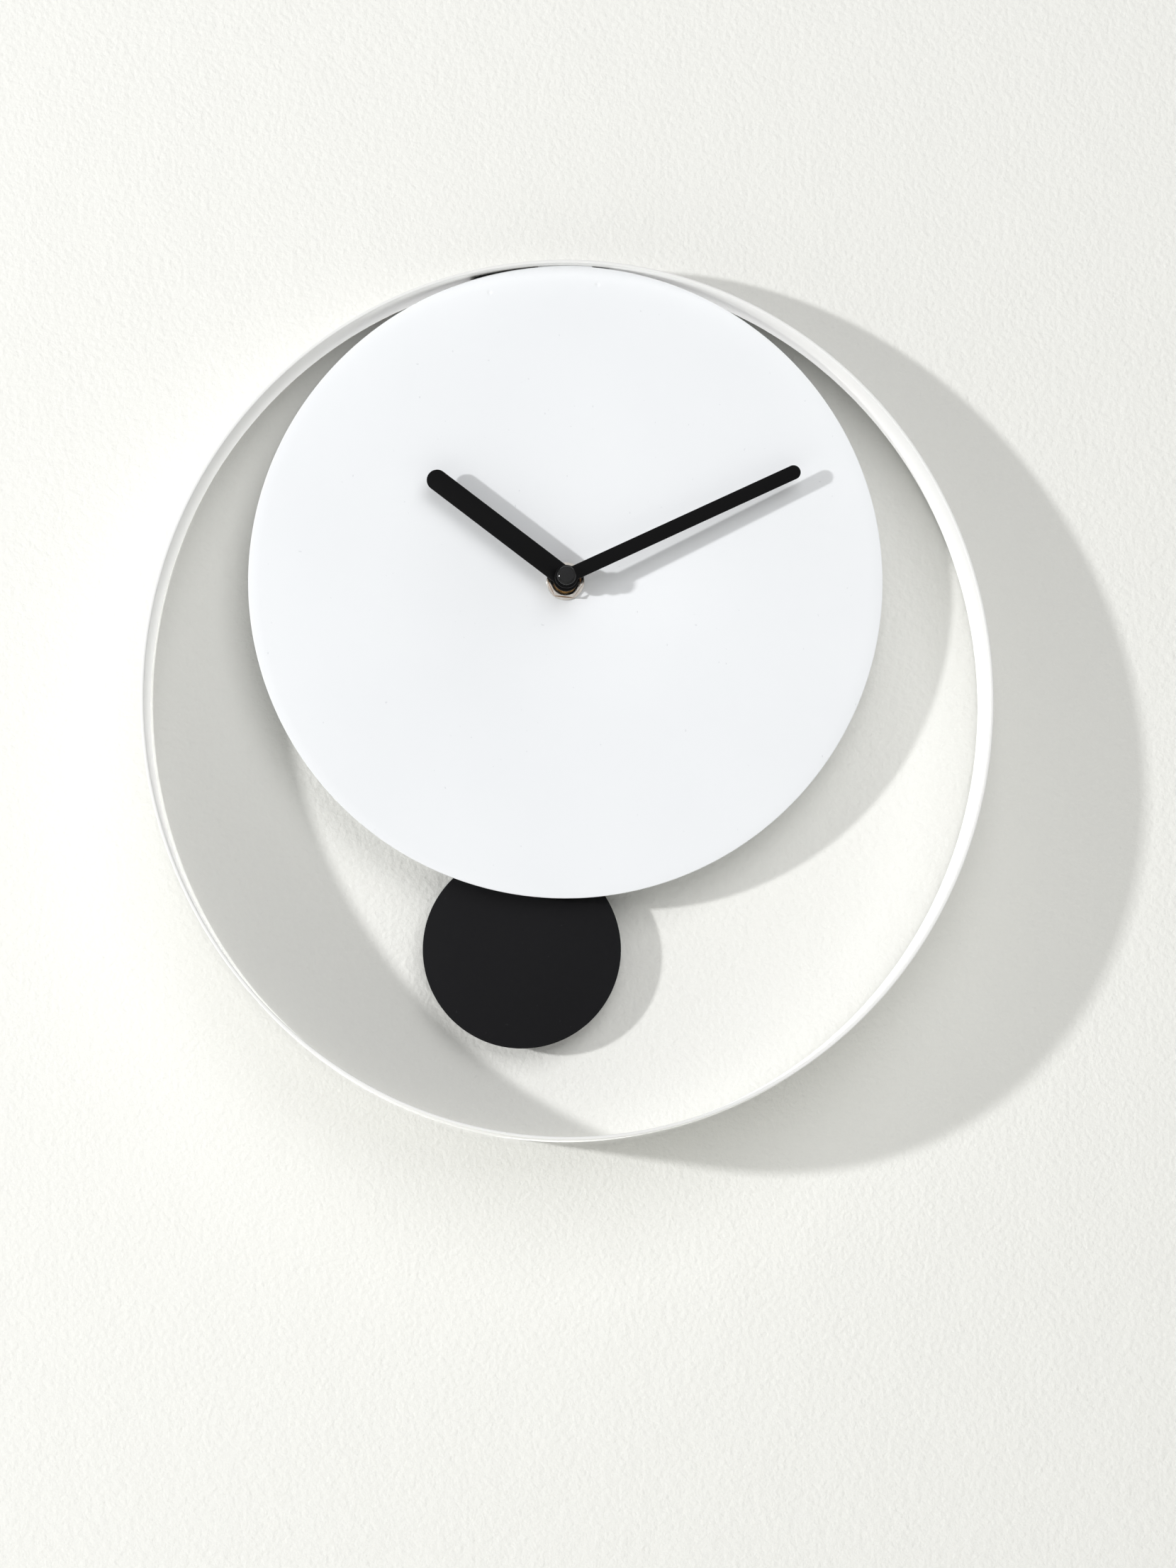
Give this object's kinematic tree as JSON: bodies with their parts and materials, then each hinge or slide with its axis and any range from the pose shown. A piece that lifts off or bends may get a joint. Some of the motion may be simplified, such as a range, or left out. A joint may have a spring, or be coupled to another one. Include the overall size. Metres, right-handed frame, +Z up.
{
  "type": "pendulum wall clock",
  "caption": "Wall clock: white disc dial with black hands, set high in a slant-edged white sheet hoop, with a black disc swinging on a pendulum below.",
  "frame": {"origin": "top of the keyhole slot in the hanger bracket, on the wall plane, where the wall screw carries the clock", "axes": "+Z up, +X to the right seen from the front, -Y out of the wall towards the viewer; the wall plane is y = 0"},
  "size_m": [0.342, 0.0566, 0.3595],
  "materials": {
    "hoop_white": "satin white powder coat on sheet steel",
    "dial_white": "matte white powder coat on sheet steel",
    "bracket_black": "matte black paint on sheet steel",
    "bob_black": "matte black paint on sheet steel",
    "hand_black": "matte black paint on sheet aluminium",
    "cap_black": "gloss black plastic",
    "nickel_plate": "bright nickel plate",
    "plated_steel": "dull zinc plate",
    "brass": "turned brass",
    "black_rubber": "matte black rubber",
    "case_black": "matte black moulded plastic",
    "gear_white": "natural white moulded plastic",
    "magnet_grey": "dark grey sintered magnet",
    "copper_wire": "enamelled copper wire",
    "board_green": "green circuit board",
    "battery_jacket": "plain printed jacket with no marks"
  },
  "bodies": {
    "clock": {"ring_hoop": "hoop_white", "dial_disc": "dial_white", "hanger_bracket": "bracket_black", "hoop_rivet_left": "hoop_white", "hoop_rivet_right": "hoop_white", "weld_stud_left": "plated_steel", "weld_stud_right": "plated_steel", "stud_nut_left": "plated_steel", "stud_nut_right": "plated_steel", "dial_gasket": "black_rubber", "dial_washer": "nickel_plate", "hex_nut": "nickel_plate", "threaded_bush": "brass", "movement_case": "case_black", "back_cover": "case_black", "pendulum_cover": "case_black", "mid_plate": "gear_white", "stator": "plated_steel", "coil_core": "plated_steel", "motor_coil": "copper_wire", "circuit_board": "board_green", "clock_chip": "cap_black", "quartz_crystal": "nickel_plate", "battery": "battery_jacket", "contact_positive": "nickel_plate", "contact_negative": "nickel_plate", "drive_coil": "copper_wire", "pendulum_pin": "plated_steel"},
    "minute_train": {"minute_hand": "hand_black", "hand_cap": "cap_black", "minute_arbor": "plated_steel", "cannon_pinion": "brass", "center_wheel": "gear_white", "setting_knob": "case_black"},
    "hour_train": {"hour_hand": "hand_black", "hour_wheel": "gear_white"},
    "minute_wheel": {"minute_wheel": "gear_white"},
    "intermediate_wheel": {"intermediate_wheel": "gear_white"},
    "rotor": {"rotor": "magnet_grey"},
    "pendulum": {"pendulum_lever": "gear_white", "pendulum_magnet": "magnet_grey", "pendulum_rod": "plated_steel", "bob_disc": "bob_black", "bob_clip": "case_black"}
  },
  "joints": [
    {"name": "minute_spin", "type": "hinge", "parent": "clock", "child": "minute_train", "pos_m": [0, -0.02, -0.1165], "axis": [0, 1, 0], "continuous": true},
    {"name": "hour_spin", "type": "hinge", "parent": "clock", "child": "hour_train", "pos_m": [0, -0.02, -0.1165], "axis": [0, 1, 0], "continuous": true},
    {"name": "minute_wheel_spin", "type": "hinge", "parent": "clock", "child": "minute_wheel", "pos_m": [0.0084, -0.013, -0.12135], "axis": [0, 1, 0], "continuous": true},
    {"name": "intermediate_spin", "type": "hinge", "parent": "clock", "child": "intermediate_wheel", "pos_m": [-0.01066, -0.007, -0.11423], "axis": [0, 1, 0], "continuous": true},
    {"name": "rotor_spin", "type": "hinge", "parent": "clock", "child": "rotor", "pos_m": [-0.01926, -0.006, -0.11393], "axis": [0, 1, 0], "continuous": true},
    {"name": "pendulum_swing", "type": "hinge", "parent": "clock", "child": "pendulum", "pos_m": [0, -0.008, -0.1355], "axis": [0, 1, 0], "range_deg": [-17.7, 2.3]}
  ],
  "couplings": [
    {"joint": "hour_spin", "follows": "minute_spin", "ratio": 0.083333},
    {"joint": "minute_wheel_spin", "follows": "minute_spin", "ratio": -0.33333},
    {"joint": "intermediate_spin", "follows": "minute_spin", "ratio": -8},
    {"joint": "rotor_spin", "follows": "minute_spin", "ratio": 60}
  ]
}
